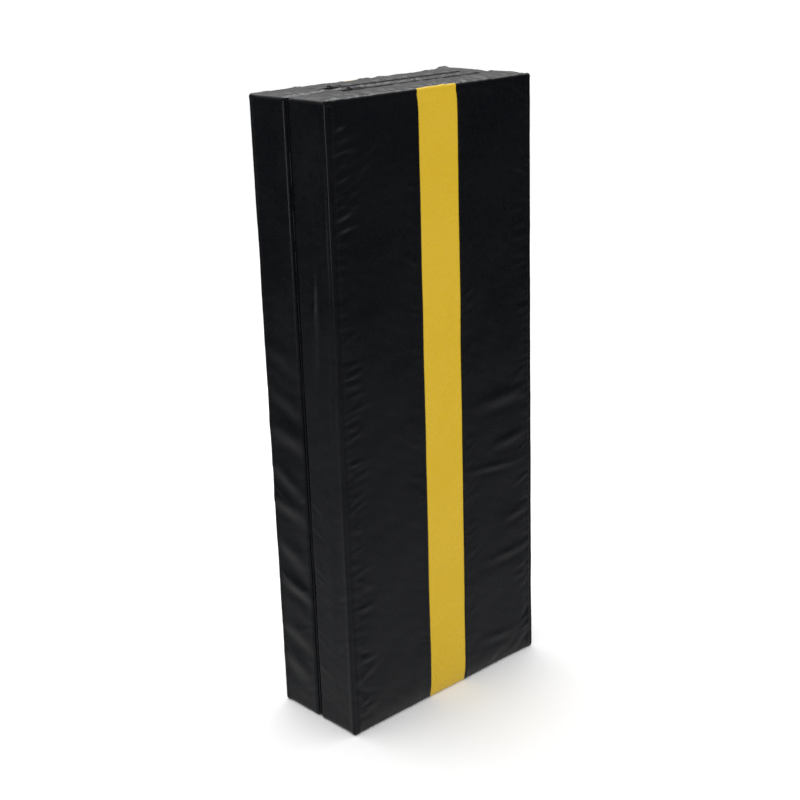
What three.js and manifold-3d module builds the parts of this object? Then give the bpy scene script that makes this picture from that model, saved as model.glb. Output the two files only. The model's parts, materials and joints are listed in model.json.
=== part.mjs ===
// Folding gym mat: two vinyl-covered foam panels joined along one side by a fabric hinge.
// It is shown folded shut and standing on its short end. Millimetres, +Z up.
// X runs from the hinge side (-X) to the open side (+X) and Y through the thickness.
// The origin is under the middle of the whole object, carry handles included, on the floor.

import * as THREE from "three";
import { RoundedBoxGeometry } from "three/addons/geometries/RoundedBoxGeometry.js";
import { mergeVertices } from "three/addons/utils/BufferGeometryUtils.js";
import Module from "manifold-3d";

// ---------- driving dimensions ----------

// One panel: a padded slab in a sewn vinyl cover. Both panels are alike.
const panelWidth = 515;
const panelThickness = 104;
const panelHeight = 1220;
const edgeRadius = 8;
const vinylThickness = 1;
const panelGap = 5;

// Clearances.
const seamGap = 0.3; // between pieces that are sewn or laid together
const foamSlack = 0.3; // between the foam and the inside of its cover
const zipHeadroom = 4; // room above the foam for the underside of the zip slider

// Coloured stripe down the middle of each outer face.
const stripeWidth = 98;

// Foam core: two laminated layers of equal thickness.
const foamLayers = ["inner", "outer"];

// Fabric hinge: a strip folded into a U between the panels and sewn to both inner faces.
const hingeStripThickness = 1;
const hingeFlapWidth = 40; // width of each sewn leg
const hingeRecess = 3; // how far the fold lies inside the hinge side
const hingeEndInset = 6; // how far the strip stops short of each end
const hingeClearance = 1; // from the hinge side to the fold axis

// Zip across the top end of each panel, close to the inner face.
const zipStartInset = 108; // from the hinge side to the start of the zip
const zipEndInset = 60; // from the open side to the end of the zip
const zipDepth = 24; // from the inner face to the middle of the zip
const zipWidth = 26;
const zipSlit = 1.4; // parting line between the two tapes
const coilRadius = 0.9;
const zipRunningClearance = 0.4; // between the slider's plates and the chain

// Zip slider and its pull tab.
const sliderLength = 12;
const sliderWidth = 8;
const sliderPlate = 1.2;
const sliderNeckLength = 4;
const sliderNeckClearance = 0.3;
const sliderStopClearance = 3; // between the slider and the stop, with the zip shut
const bailHoleLength = 4.4;
const bailHoleHeight = 2.8;
const bailThickness = 1;
const bailWidth = 2.2;
const pullThickness = 1.2;
const pullWidth = 8;
const pullLength = 30;
const pullArmWidth = 1.6;
const pullEyeLength = 4.4;
const pullGripHoleRadius = 1.8;

// Stops crimped over the chain at both ends of the zip.
const stopLength = 4;
const stopWidth = 6;
const stopThickness = 1;
const stopInset = 1;

// Webbing carry handle on the open side of each panel.
const handleWidth = 38;
const handleThickness = 2.2;
const handleGrip = 190; // between the sewn ends
const handleBow = 28; // how far the middle of the grip stands out
const handleTab = 45; // each sewn end
const handlePatchMargin = 6; // patch beyond the webbing, all round
const handlePatchThickness = 1;
const handlePatchRadius = 6;
const handleSteps = 24;

// ---------- derived sizes ----------

const half = seamGap / 2;
const hingeSideX = -panelWidth / 2;
const openSideX = panelWidth / 2;
const stripeHingeX = -stripeWidth / 2;
const stripeOpenX = stripeWidth / 2;
const zipStartX = hingeSideX + zipStartInset;
const zipEndX = openSideX - zipEndInset;
const sliderRestX = zipStartX + stopInset + stopLength + sliderStopClearance + sliderLength / 2;
const handleFootX = openSideX + seamGap + handlePatchThickness + seamGap;
const handleReach = handleFootX + handleBow + handleThickness - openSideX;
const handleMiddleZ = panelHeight / 2;
const centringX = -handleReach / 2;

// ---------- finishes ----------

const finishes = {
  blackVinyl: { color: 0x17171a, roughness: 0.35, metalness: 0 },
  yellowVinyl: { color: 0xd2ae2a, roughness: 0.35, metalness: 0 },
  foamSoft: { color: 0xe9e6dc, roughness: 0.95, metalness: 0 },
  foamFirm: { color: 0x8f9499, roughness: 0.95, metalness: 0 },
  webbing: { color: 0x151517, roughness: 0.8, metalness: 0 },
  zipTape: { color: 0x121214, roughness: 0.8, metalness: 0 },
  zipMetal: { color: 0x2a2a2d, roughness: 0.35, metalness: 0.9 },
};

// ---------- solids ----------

const wasm = await Module();
wasm.setup();

/** A closed three.js geometry as a solid that can be joined and cut. */
function solidOf(geometry) {
  const bare = geometry.clone();
  bare.deleteAttribute("normal");
  bare.deleteAttribute("uv");
  const merged = mergeVertices(bare, 1e-4);
  return new wasm.Manifold(
    new wasm.Mesh({
      numProp: 3,
      vertProperties: new Float32Array(merged.attributes.position.array),
      triVerts: new Uint32Array(merged.index.array),
    }),
  );
}

/** A solid as a three.js geometry. */
function geometryOf(solid) {
  const mesh = solid.getMesh();
  const geometry = new THREE.BufferGeometry();
  geometry.setAttribute("position", new THREE.BufferAttribute(mesh.vertProperties, 3));
  geometry.setIndex(new THREE.BufferAttribute(mesh.triVerts, 1));
  geometry.computeVertexNormals();
  return geometry;
}

/** A box between two corners, with its edges rounded if a radius is given. */
function block([x0, x1], [y0, y1], [z0, z1], radius = 0) {
  const size = [x1 - x0, Math.abs(y1 - y0), z1 - z0];
  const geometry = radius > 0
    ? new RoundedBoxGeometry(...size, 3, radius)
    : new THREE.BoxGeometry(...size);
  geometry.translate((x0 + x1) / 2, (y0 + y1) / 2, (z0 + z1) / 2);
  return solidOf(geometry);
}

/** Several solids joined into one. */
function joined(first, ...others) {
  return others.reduce((sum, solid) => sum.add(solid), first);
}

/** A flat outline in XY, extruded upwards from z0 to z1. */
function plate(shape, z0, z1, curveSegments = 8) {
  const geometry = new THREE.ExtrudeGeometry(shape, {
    depth: z1 - z0,
    bevelEnabled: false,
    curveSegments,
  });
  geometry.translate(0, 0, z0);
  return solidOf(geometry);
}

/** A named mesh from a solid. */
function piece(name, solid, finish) {
  const mesh = new THREE.Mesh(geometryOf(solid), new THREE.MeshStandardMaterial(finishes[finish]));
  mesh.name = name;
  return mesh;
}

// ---------- one panel ----------

/**
 * Everything that belongs to one panel. outward is -1 for the front panel and 1 for the back one.
 * Depth is measured from the panel's inner face, so depth 0 is beside the gap.
 */
class Panel {
  constructor(name, outward) {
    this.name = name;
    this.outward = outward;
  }

  /** The Y of a depth. */
  y(depth) {
    return this.outward * (panelGap / 2 + depth);
  }

  /** A box given by its range in X, depth and Z. */
  box(x, depth, z, radius = 0) {
    return block(x, [this.y(depth[0]), this.y(depth[1])], z, radius);
  }

  /** The whole cover before it is cut into its pieces: an even skin with a rounded edge. */
  skin() {
    const t = vinylThickness;
    const outside = this.box([hingeSideX, openSideX], [0, panelThickness], [0, panelHeight], edgeRadius);
    const inside = this.box(
      [hingeSideX + t, openSideX - t],
      [t, panelThickness - t],
      [t, panelHeight - t],
      edgeRadius - t,
    );
    return outside.subtract(inside);
  }

  /** Sheets of an outer or inner face, which turn over the rounded top and bottom edges. */
  faceSheet(skin, x0, x1, depth) {
    const past = edgeRadius;
    return skin.intersect(this.box([x0 + half, x1 - half], depth, [-past, panelHeight + past]));
  }

  /** The gusset along one upright side, from x0 to x1. */
  sideGusset(skin, x0, x1) {
    const z = [edgeRadius + half, panelHeight - edgeRadius - half];
    return skin.intersect(this.box([x0, x1], [-half, panelThickness + half], z));
  }

  /** The gusset across one end, between heights z0 and z1, with its rounded corners. */
  endGusset(skin, z0, z1) {
    const z = [z0, z1];
    const middle = [edgeRadius + half, panelThickness - edgeRadius - half];
    const whole = [-half, panelThickness + half];
    return skin.intersect(
      joined(
        this.box([hingeSideX - half, openSideX + half], middle, z),
        this.box([hingeSideX - half, hingeSideX + edgeRadius - half], whole, z),
        this.box([openSideX - edgeRadius + half, openSideX + half], whole, z),
      ),
    );
  }

  cover() {
    const skin = this.skin();
    const left = hingeSideX + edgeRadius;
    const right = openSideX - edgeRadius;
    const face = [panelThickness - edgeRadius + half, panelThickness + half];
    const inner = [-half, edgeRadius - half];
    const zipWindow = this.box(
      [zipStartX - seamGap, zipEndX + seamGap],
      [zipDepth - zipWidth / 2 - seamGap, zipDepth + zipWidth / 2 + seamGap],
      [panelHeight - edgeRadius, panelHeight + edgeRadius],
    );
    const top = this.endGusset(skin, panelHeight - edgeRadius + half, panelHeight + half);
    const bottom = this.endGusset(skin, -half, edgeRadius - half);
    return [
      piece(`${this.name}_face_hinge_side`, this.faceSheet(skin, left, stripeHingeX, face), "blackVinyl"),
      piece(`${this.name}_stripe`, this.faceSheet(skin, stripeHingeX, stripeOpenX, face), "yellowVinyl"),
      piece(`${this.name}_face_open_side`, this.faceSheet(skin, stripeOpenX, right, face), "blackVinyl"),
      piece(`${this.name}_inner_sheet`, this.faceSheet(skin, left, right, inner), "blackVinyl"),
      piece(`${this.name}_hinge_gusset`, this.sideGusset(skin, hingeSideX - half, left - half), "blackVinyl"),
      piece(`${this.name}_open_gusset`, this.sideGusset(skin, right + half, openSideX + half), "blackVinyl"),
      piece(`${this.name}_top_gusset`, top.subtract(zipWindow), "blackVinyl"),
      piece(`${this.name}_bottom_gusset`, bottom, "blackVinyl"),
    ];
  }

  foam() {
    const inset = vinylThickness + foamSlack;
    const radius = edgeRadius - inset;
    const core = this.box(
      [hingeSideX + inset, openSideX - inset],
      [inset, panelThickness - inset],
      [inset, panelHeight - vinylThickness - zipHeadroom],
      radius,
    );
    const middle = panelThickness / 2;
    const depths = { inner: [0, middle - half], outer: [middle + half, panelThickness] };
    return foamLayers.map((layer) => {
      const slab = this.box([hingeSideX, openSideX], depths[layer], [0, panelHeight]);
      const finish = layer === "outer" ? "foamSoft" : "foamFirm";
      return piece(`${this.name}_foam_${layer}`, core.intersect(slab), finish);
    });
  }

  /** One zip tape with its coil along the parting line. side is -1 towards the inner face, 1 away. */
  zipTape(side) {
    const edge = zipDepth + (side * zipSlit) / 2;
    const rim = zipDepth + (side * zipWidth) / 2;
    const depth = side < 0 ? [rim, edge] : [edge, rim];
    const tape = this.box([zipStartX, zipEndX], depth, [panelHeight - vinylThickness, panelHeight]);
    const coil = new THREE.CylinderGeometry(coilRadius, coilRadius, zipEndX - zipStartX, 12);
    coil.rotateZ(Math.PI / 2);
    coil.translate((zipStartX + zipEndX) / 2, this.y(edge + side * coilRadius), panelHeight);
    return tape.add(solidOf(coil));
  }

  /** A stop crimped over the chain, between x0 and x0 + stopLength. */
  zipStop(x0) {
    const z0 = panelHeight + coilRadius + seamGap;
    return this.box(
      [x0, x0 + stopLength],
      [zipDepth - stopWidth / 2, zipDepth + stopWidth / 2],
      [z0, z0 + stopThickness],
    );
  }

  /** The height of the slider's upper face. */
  static sliderTop() {
    return panelHeight + coilRadius + zipRunningClearance + sliderPlate;
  }

  /** Two plates above and below the chain, joined through the slit, with a bail for the pull. */
  zipSlider() {
    const x = sliderRestX;
    const top = Panel.sliderTop();
    const upper = top - sliderPlate;
    const lower = panelHeight - vinylThickness - zipRunningClearance;
    const long = [x - sliderLength / 2, x + sliderLength / 2];
    const wide = [zipDepth - sliderWidth / 2, zipDepth + sliderWidth / 2];
    const neckHalf = zipSlit / 2 - sliderNeckClearance;
    const neckX = [x - sliderNeckLength / 2, x + sliderNeckLength / 2];
    const bailX = [x - bailHoleLength / 2 - bailThickness, x + bailHoleLength / 2 + bailThickness];
    const bailDepth = [zipDepth - bailWidth / 2, zipDepth + bailWidth / 2];
    const bail = this.box(bailX, bailDepth, [upper, top + bailHoleHeight + bailThickness]);
    const hole = this.box(
      [bailX[0] + bailThickness, bailX[1] - bailThickness],
      [bailDepth[0] - bailWidth, bailDepth[1] + bailWidth],
      [top, top + bailHoleHeight],
    );
    return joined(
      this.box(long, wide, [upper, top]),
      this.box(long, wide, [lower - sliderPlate, lower]),
      this.box(neckX, [zipDepth - neckHalf, zipDepth + neckHalf], [lower - half, upper + half]),
      bail.subtract(hole),
    );
  }

  /** The pull tab, lying flat towards the open side, with its crossbar through the bail. */
  zipPull() {
    const bar = pullThickness / 2;
    const w = pullWidth / 2;
    const outline = new THREE.Shape();
    outline.moveTo(-bar, -w);
    outline.lineTo(pullLength - w, -w);
    outline.absarc(pullLength - w, 0, w, -Math.PI / 2, Math.PI / 2, false);
    outline.lineTo(-bar, w);
    outline.closePath();
    const eye = new THREE.Path();
    const eyeHalf = w - pullArmWidth;
    eye.moveTo(bar, -eyeHalf);
    eye.lineTo(bar, eyeHalf);
    eye.lineTo(bar + pullEyeLength, eyeHalf);
    eye.lineTo(bar + pullEyeLength, -eyeHalf);
    eye.closePath();
    const grip = new THREE.Path();
    grip.absarc(pullLength - w, 0, pullGripHoleRadius, 0, 2 * Math.PI, true);
    outline.holes.push(eye, grip);
    const middle = Panel.sliderTop() + bailHoleHeight / 2;
    const tab = plate(outline, middle - bar, middle + bar);
    return tab.translate([sliderRestX, this.y(zipDepth), 0]);
  }

  zip() {
    return [
      piece(`${this.name}_zip_tape_inner`, this.zipTape(-1), "zipTape"),
      piece(`${this.name}_zip_tape_outer`, this.zipTape(1), "zipTape"),
      piece(`${this.name}_zip_stop_start`, this.zipStop(zipStartX + stopInset), "zipMetal"),
      piece(`${this.name}_zip_stop_end`, this.zipStop(zipEndX - stopInset - stopLength), "zipMetal"),
      piece(`${this.name}_zip_slider`, this.zipSlider(), "zipMetal"),
      piece(`${this.name}_zip_pull`, this.zipPull(), "zipMetal"),
    ];
  }

  /** How far the underside of the webbing stands out, at a height from the middle of the grip. */
  static bowAt(height) {
    const reach = Math.min(Math.abs(height) / (handleGrip / 2), 1);
    return handleFootX + (handleBow * (1 + Math.cos(Math.PI * reach))) / 2;
  }

  /** The webbing: two flat sewn ends and a bowed grip between them. */
  handleStrap() {
    const tip = handleGrip / 2 + handleTab;
    const heights = Array.from(
      { length: handleSteps + 1 },
      (_, i) => (handleGrip * i) / handleSteps - handleGrip / 2,
    );
    const outline = new THREE.Shape();
    outline.moveTo(handleFootX, -tip);
    outline.lineTo(handleFootX + handleThickness, -tip);
    heights.forEach((h) => outline.lineTo(Panel.bowAt(h) + handleThickness, h));
    outline.lineTo(handleFootX + handleThickness, tip);
    outline.lineTo(handleFootX, tip);
    [...heights].reverse().forEach((h) => outline.lineTo(Panel.bowAt(h), h));
    outline.closePath();
    const strap = new THREE.ExtrudeGeometry(outline, { depth: handleWidth, bevelEnabled: false });
    strap.rotateX(Math.PI / 2);
    strap.translate(0, this.y(panelThickness / 2) + handleWidth / 2, handleMiddleZ);
    return solidOf(strap);
  }

  /** The vinyl patch under one sewn end of the webbing. side is -1 for the lower end, 1 upper. */
  handlePatch(side) {
    const w = handleWidth / 2 + handlePatchMargin;
    const h = handleTab / 2 + handlePatchMargin;
    const r = handlePatchRadius;
    const outline = new THREE.Shape();
    outline.moveTo(-w + r, -h);
    outline.absarc(w - r, -h + r, r, -Math.PI / 2, 0, false);
    outline.absarc(w - r, h - r, r, 0, Math.PI / 2, false);
    outline.absarc(-w + r, h - r, r, Math.PI / 2, Math.PI, false);
    outline.absarc(-w + r, -h + r, r, Math.PI, 1.5 * Math.PI, false);
    outline.closePath();
    const patch = new THREE.ExtrudeGeometry(outline, {
      depth: handlePatchThickness,
      bevelEnabled: false,
      curveSegments: 4,
    });
    patch.rotateX(Math.PI / 2);
    patch.rotateZ(Math.PI / 2);
    const middleZ = handleMiddleZ + (side * (handleGrip + handleTab)) / 2;
    patch.translate(openSideX + seamGap, this.y(panelThickness / 2), middleZ);
    return solidOf(patch);
  }

  handle() {
    return [
      piece(`${this.name}_handle_strap`, this.handleStrap(), "webbing"),
      piece(`${this.name}_handle_patch_lower`, this.handlePatch(-1), "blackVinyl"),
      piece(`${this.name}_handle_patch_upper`, this.handlePatch(1), "blackVinyl"),
    ];
  }

  build() {
    const group = new THREE.Group();
    group.add(...this.foam(), ...this.cover(), ...this.zip(), ...this.handle());
    return group;
  }
}

// ---------- fabric hinge ----------

/** The strip that joins the panels: a U in the gap, with a leg sewn to each inner face. */
function hingeStrip() {
  const outer = panelGap / 2 - seamGap;
  const inner = outer - hingeStripThickness;
  const foldX = hingeSideX + hingeRecess + outer;
  const endX = foldX + hingeFlapWidth;
  const outline = new THREE.Shape();
  outline.moveTo(endX, outer);
  outline.lineTo(foldX, outer);
  outline.absarc(foldX, 0, outer, Math.PI / 2, 1.5 * Math.PI, false);
  outline.lineTo(endX, -outer);
  outline.lineTo(endX, -inner);
  outline.lineTo(foldX, -inner);
  outline.absarc(foldX, 0, inner, 1.5 * Math.PI, Math.PI / 2, true);
  outline.lineTo(endX, inner);
  outline.closePath();
  return plate(outline, hingeEndInset, panelHeight - hingeEndInset);
}

// ---------- the whole mat ----------

const mat = new THREE.Group();
mat.name = "folding_gym_mat";
mat.position.x = centringX;
mat.add(new Panel("back", 1).build(), new Panel("front", -1).build());
mat.add(piece("hinge_strip", hingeStrip(), "blackVinyl"));
mat.userData.foldAxisX = hingeSideX - hingeClearance;

export default mat;
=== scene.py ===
"""Folding gym mat: two vinyl-covered foam panels, folded shut and standing on one short end.

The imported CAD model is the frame, and every place below is worked out from its nodes. Metres, +Z up.
The front panel faces -Y and the back panel +Y, and the fabric hinge between them is on the -X side.
A panel is made in its own coordinates first: x as in the frame, depth from its inner face outwards, z.
"""

from __future__ import annotations

import json
import logging
import math
from collections.abc import Iterator
from contextlib import contextmanager
from dataclasses import dataclass, field
from enum import Enum
from typing import ClassVar

import bpy
import numpy as np
from mathutils import Matrix, Vector
from mathutils.bvhtree import BVHTree

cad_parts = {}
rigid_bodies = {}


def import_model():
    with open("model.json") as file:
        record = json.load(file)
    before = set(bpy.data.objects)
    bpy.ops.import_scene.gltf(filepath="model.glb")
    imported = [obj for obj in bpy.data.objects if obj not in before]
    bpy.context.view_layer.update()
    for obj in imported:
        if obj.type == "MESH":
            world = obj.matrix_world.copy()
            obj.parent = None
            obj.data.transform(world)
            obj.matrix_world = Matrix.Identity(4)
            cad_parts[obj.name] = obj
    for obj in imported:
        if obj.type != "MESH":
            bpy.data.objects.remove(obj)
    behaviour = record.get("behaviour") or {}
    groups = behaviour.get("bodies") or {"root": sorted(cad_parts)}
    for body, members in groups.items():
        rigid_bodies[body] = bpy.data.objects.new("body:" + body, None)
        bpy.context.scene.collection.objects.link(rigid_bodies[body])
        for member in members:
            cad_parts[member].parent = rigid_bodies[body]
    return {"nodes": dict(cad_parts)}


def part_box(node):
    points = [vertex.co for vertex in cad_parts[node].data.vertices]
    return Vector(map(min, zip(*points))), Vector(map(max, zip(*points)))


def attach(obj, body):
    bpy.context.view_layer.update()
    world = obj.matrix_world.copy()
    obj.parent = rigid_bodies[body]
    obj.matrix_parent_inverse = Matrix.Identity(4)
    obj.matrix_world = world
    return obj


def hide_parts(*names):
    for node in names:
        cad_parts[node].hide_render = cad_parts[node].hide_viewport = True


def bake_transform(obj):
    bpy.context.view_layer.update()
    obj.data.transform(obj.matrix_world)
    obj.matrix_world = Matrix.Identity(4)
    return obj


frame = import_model()

LOG = logging.getLogger("gym_mat")
MM = 0.001
SLACK = 1.0 * MM  # how far the cover lies inside its CAD box before the foam swells it


# ---------- small helpers ----------


def srgb(hex_code: str) -> tuple[float, float, float, float]:
    """Turns an sRGB hex colour into Blender's linear RGBA.

    Args:
        hex_code: six hex digits after a hash.
    Returns:
        The linear colour, with an alpha of 1.
    """
    parts = [int(hex_code[i : i + 2], 16) / 255 for i in (1, 3, 5)]
    linear = [c / 12.92 if c <= 0.04045 else ((c + 0.055) / 1.055) ** 2.4 for c in parts]
    return (*linear, 1.0)


def add_node(tree: bpy.types.NodeTree, kind: str, inputs: dict | None = None, **settings) -> bpy.types.Node:
    """Adds a node with its settings, values and incoming links.

    Args:
        tree: the node tree that it joins.
        kind: the node's Blender type.
        inputs: a value, or an output socket to link, for each input by name or number.
        **settings: the node's own properties.
    Returns:
        The new node.
    """
    node = tree.nodes.new(kind)
    for name, value in settings.items():
        setattr(node, name, value)
    for key, value in (inputs or {}).items():
        if isinstance(value, bpy.types.NodeSocket):
            tree.links.new(value, node.inputs[key])
        else:
            node.inputs[key].default_value = value
    return node


def smooth_step(low: float, high: float, values: np.ndarray) -> np.ndarray:
    """Rises smoothly from 0 at low to 1 at high.

    Args:
        low: where the rise starts.
        high: where it ends.
        values: the numbers to place on it.
    Returns:
        One number from 0 to 1 for each value.
    """
    t = np.clip((values - low) / (high - low), 0, 1)
    return t * t * (3 - 2 * t)


def make_active(obj: bpy.types.Object) -> None:
    """Selects one object and nothing else."""
    bpy.ops.object.select_all(action="DESELECT")
    obj.select_set(True)
    bpy.context.view_layer.objects.active = obj


@contextmanager
def editing(obj: bpy.types.Object, mode: str = "FACE") -> Iterator[None]:
    """Holds an object in edit mode with all of it selected.

    Args:
        obj: the mesh object.
        mode: VERT, EDGE or FACE.
    Returns:
        A context, which leaves edit mode at its end.
    """
    make_active(obj)
    bpy.ops.object.mode_set(mode="EDIT")
    bpy.ops.mesh.select_mode(type=mode)
    bpy.ops.mesh.select_all(action="SELECT")
    yield
    bpy.ops.object.mode_set(mode="OBJECT")


def new_block(name: str, low: Vector, high: Vector) -> bpy.types.Object:
    """Adds a cuboid between two corners, with its place in its mesh.

    Args:
        name: the object's name.
        low: the lowest corner.
        high: the highest corner.
    Returns:
        The new object.
    """
    bpy.ops.object.select_all(action="DESELECT")
    bpy.ops.mesh.primitive_cube_add(size=1.0, location=(low + high) / 2)
    obj = bpy.context.active_object
    obj.name = obj.data.name = name
    obj.scale = high - low
    bpy.ops.object.transform_apply(location=True, rotation=True, scale=True)
    return obj


def apply_modifier(obj: bpy.types.Object, kind: str, **settings) -> None:
    """Adds a modifier to an object and applies it.

    Args:
        obj: the mesh object.
        kind: the modifier's Blender type.
        **settings: the modifier's own properties.
    """
    make_active(obj)
    modifier = obj.modifiers.new(kind.title(), kind)
    for name, value in settings.items():
        setattr(modifier, name, value)
    bpy.ops.object.modifier_apply(modifier=modifier.name)


def smooth(obj: bpy.types.Object, angle_deg: float = 40) -> None:
    """Shades an object smooth, except over edges sharper than an angle."""
    make_active(obj)
    bpy.ops.object.shade_smooth_by_angle(angle=math.radians(angle_deg))


def points_of(obj: bpy.types.Object, field_name: str = "co") -> np.ndarray:
    """Reads a mesh's vertices, or another three-number property of them, as rows."""
    values = np.zeros(len(obj.data.vertices) * 3)
    obj.data.vertices.foreach_get(field_name, values)
    return values.reshape(-1, 3)


def set_points(obj: bpy.types.Object, points: np.ndarray) -> None:
    """Writes a mesh's vertices from rows of three numbers."""
    obj.data.vertices.foreach_set("co", points.astype(np.float32).ravel())
    obj.data.update()


def dress(obj: bpy.types.Object, material: bpy.types.Material) -> None:
    """Gives an object one material all over."""
    obj.data.materials.clear()
    obj.data.materials.append(material)
    obj.data.polygons.foreach_set("material_index", [0] * len(obj.data.polygons))


def graded(marks: list[float], fine: float, coarse: float, reach: float) -> list[float]:
    """Places cuts from the first mark to the last, close together near every mark.

    Args:
        marks: places that must have a cut, in order.
        fine: the spacing beside a mark.
        coarse: the spacing further away.
        reach: how far from a mark the spacing becomes coarse.
    Returns:
        Every cut, marks included.
    """
    cuts = []
    for start, end in zip(marks, marks[1:]):
        along = np.linspace(0, end - start, 200)
        near = np.minimum(along, end - start - along)
        spacing = fine + (coarse - fine) * np.clip(near / reach, 0, 1)
        rate = (1 / spacing[1:] + 1 / spacing[:-1]) / 2
        count = np.concatenate(([0.0], np.cumsum(rate * along[1])))
        steps = max(1, round(count[-1]))
        cuts += list(start + np.interp(np.arange(steps) * count[-1] / steps, count, along))
    return [*cuts, marks[-1]]


# ---------- finishes ----------


@dataclass(frozen=True)
class VinylFinish:
    """PVC-coated polyester, calendered with a fine leather grain.

    The grain breaks the gloss into soft highlights, and rubbing polishes it in clouds a hand wide.
    """

    name: str
    dark: str
    light: str
    roughness: tuple[float, float] = (0.22, 0.34)
    grain_mm: float = 1.7  # real grain is about 0.8 mm, drawn twice as coarse so that it shows
    grain_depth_mm: float = 0.05
    cloud_mm: float = 180

    def material(self) -> bpy.types.Material:
        """Builds the material.

        Returns:
            The material, with its nodes.
        """
        made = bpy.data.materials.new(self.name)
        made.use_nodes = True
        tree = made.node_tree
        shader = tree.nodes["Principled BSDF"]
        place = add_node(tree, "ShaderNodeTexCoord").outputs["Object"]
        clouds = add_node(
            tree,
            "ShaderNodeTexNoise",
            {"Vector": place, "Scale": 1 / (self.cloud_mm * MM), "Detail": 5.0, "Roughness": 0.6},
        )
        scuffs = add_node(
            tree,
            "ShaderNodeTexNoise",
            {"Vector": place, "Scale": 1 / (12 * MM), "Detail": 6.0, "Roughness": 0.7},
        )
        both = add_node(
            tree,
            "ShaderNodeMath",
            {0: clouds.outputs["Fac"], 1: scuffs.outputs["Fac"]},
            operation="MULTIPLY",
        )
        gloss = add_node(
            tree,
            "ShaderNodeMapRange",
            {
                "Value": both.outputs[0],
                "From Min": 0.15,
                "From Max": 0.38,
                "To Min": self.roughness[0],
                "To Max": self.roughness[1],
            },
        )
        tint = add_node(
            tree,
            "ShaderNodeMix",
            {"Factor": clouds.outputs["Fac"]},
            data_type="RGBA",
        )
        tint.inputs[6].default_value = srgb(self.dark)
        tint.inputs[7].default_value = srgb(self.light)
        cells = add_node(
            tree,
            "ShaderNodeTexVoronoi",
            {"Vector": place, "Scale": 1 / (self.grain_mm * MM), "Randomness": 0.9},
            feature="SMOOTH_F1",
        )
        creases = add_node(
            tree,
            "ShaderNodeTexNoise",
            {"Vector": place, "Scale": 1 / (6 * MM), "Detail": 4.0, "Roughness": 0.55},
        )
        height = add_node(
            tree,
            "ShaderNodeMath",
            {0: creases.outputs["Fac"], 1: 1.2, 2: cells.outputs["Distance"]},
            operation="MULTIPLY_ADD",
        )
        bump = add_node(
            tree,
            "ShaderNodeBump",
            {"Height": height.outputs[0], "Strength": 0.18, "Distance": self.grain_depth_mm * MM},
        )
        tree.links.new(tint.outputs[2], shader.inputs["Base Color"])
        tree.links.new(gloss.outputs["Result"], shader.inputs["Roughness"])
        tree.links.new(bump.outputs["Normal"], shader.inputs["Normal"])
        shader.inputs["IOR"].default_value = 1.53
        return made


@dataclass(frozen=True)
class WovenFinish:
    """Woven polypropylene or polyester tape: matt, with ribs across and lines of warp along it."""

    name: str
    colour: str
    # painted highlight: the lighter colour given to the raised ribs of the weave
    ridge: str
    thread_mm: float
    across: str
    along: str
    depth_mm: float = 0.25

    def material(self) -> bpy.types.Material:
        """Builds the material.

        Returns:
            The material, with its nodes.
        """
        made = bpy.data.materials.new(self.name)
        made.use_nodes = True
        tree = made.node_tree
        shader = tree.nodes["Principled BSDF"]
        place = add_node(tree, "ShaderNodeTexCoord").outputs["Object"]
        scale = math.pi / (10 * self.thread_mm * MM)
        waves = [
            add_node(
                tree,
                "ShaderNodeTexWave",
                {"Vector": place, "Scale": scale * share, "Distortion": 0.4},
                bands_direction=axis,
            ).outputs["Fac"]
            for axis, share in ((self.across, 1.0), (self.along, 0.6))
        ]
        weave = add_node(tree, "ShaderNodeMath", {0: waves[0], 1: waves[1]}, operation="MULTIPLY")
        fuzz = add_node(
            tree,
            "ShaderNodeTexNoise",
            {"Vector": place, "Scale": 1 / (0.8 * MM), "Detail": 3.0},
        )
        tint = add_node(
            tree, "ShaderNodeMix", {"Factor": weave.outputs[0]}, data_type="RGBA"
        )
        tint.inputs[6].default_value = srgb(self.colour)
        # painted highlight: the raised ribs take the lighter ridge colour, following the bump's height
        tint.inputs[7].default_value = srgb(self.ridge)
        height = add_node(
            tree,
            "ShaderNodeMath",
            {0: fuzz.outputs["Fac"], 1: 0.3, 2: weave.outputs[0]},
            operation="MULTIPLY_ADD",
        )
        bump = add_node(
            tree,
            "ShaderNodeBump",
            {"Height": height.outputs[0], "Strength": 0.8, "Distance": self.depth_mm * MM},
        )
        tree.links.new(tint.outputs[2], shader.inputs["Base Color"])
        tree.links.new(bump.outputs["Normal"], shader.inputs["Normal"])
        shader.inputs["Roughness"].default_value = 0.72
        shader.inputs["Sheen Weight"].default_value = 0.15
        shader.inputs["IOR"].default_value = 1.49
        return made


@dataclass(frozen=True)
class FoamFinish:
    """Cut polyurethane or polyethylene foam: matt and open-celled, with cells of a known size."""

    name: str
    colour: str
    shadow: str
    cell_mm: float

    def material(self) -> bpy.types.Material:
        """Builds the material.

        Returns:
            The material, with its nodes.
        """
        made = bpy.data.materials.new(self.name)
        made.use_nodes = True
        tree = made.node_tree
        shader = tree.nodes["Principled BSDF"]
        place = add_node(tree, "ShaderNodeTexCoord").outputs["Object"]
        cells = add_node(
            tree,
            "ShaderNodeTexVoronoi",
            {"Vector": place, "Scale": 1 / (self.cell_mm * MM)},
            feature="F1",
        )
        tint = add_node(
            tree, "ShaderNodeMix", {"Factor": cells.outputs["Distance"]}, data_type="RGBA"
        )
        tint.inputs[6].default_value = srgb(self.shadow)
        tint.inputs[7].default_value = srgb(self.colour)
        bump = add_node(
            tree,
            "ShaderNodeBump",
            {"Height": cells.outputs["Distance"], "Strength": 0.7, "Distance": 0.3 * self.cell_mm * MM},
        )
        tree.links.new(tint.outputs[2], shader.inputs["Base Color"])
        tree.links.new(bump.outputs["Normal"], shader.inputs["Normal"])
        shader.inputs["Roughness"].default_value = 0.95
        return made


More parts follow.
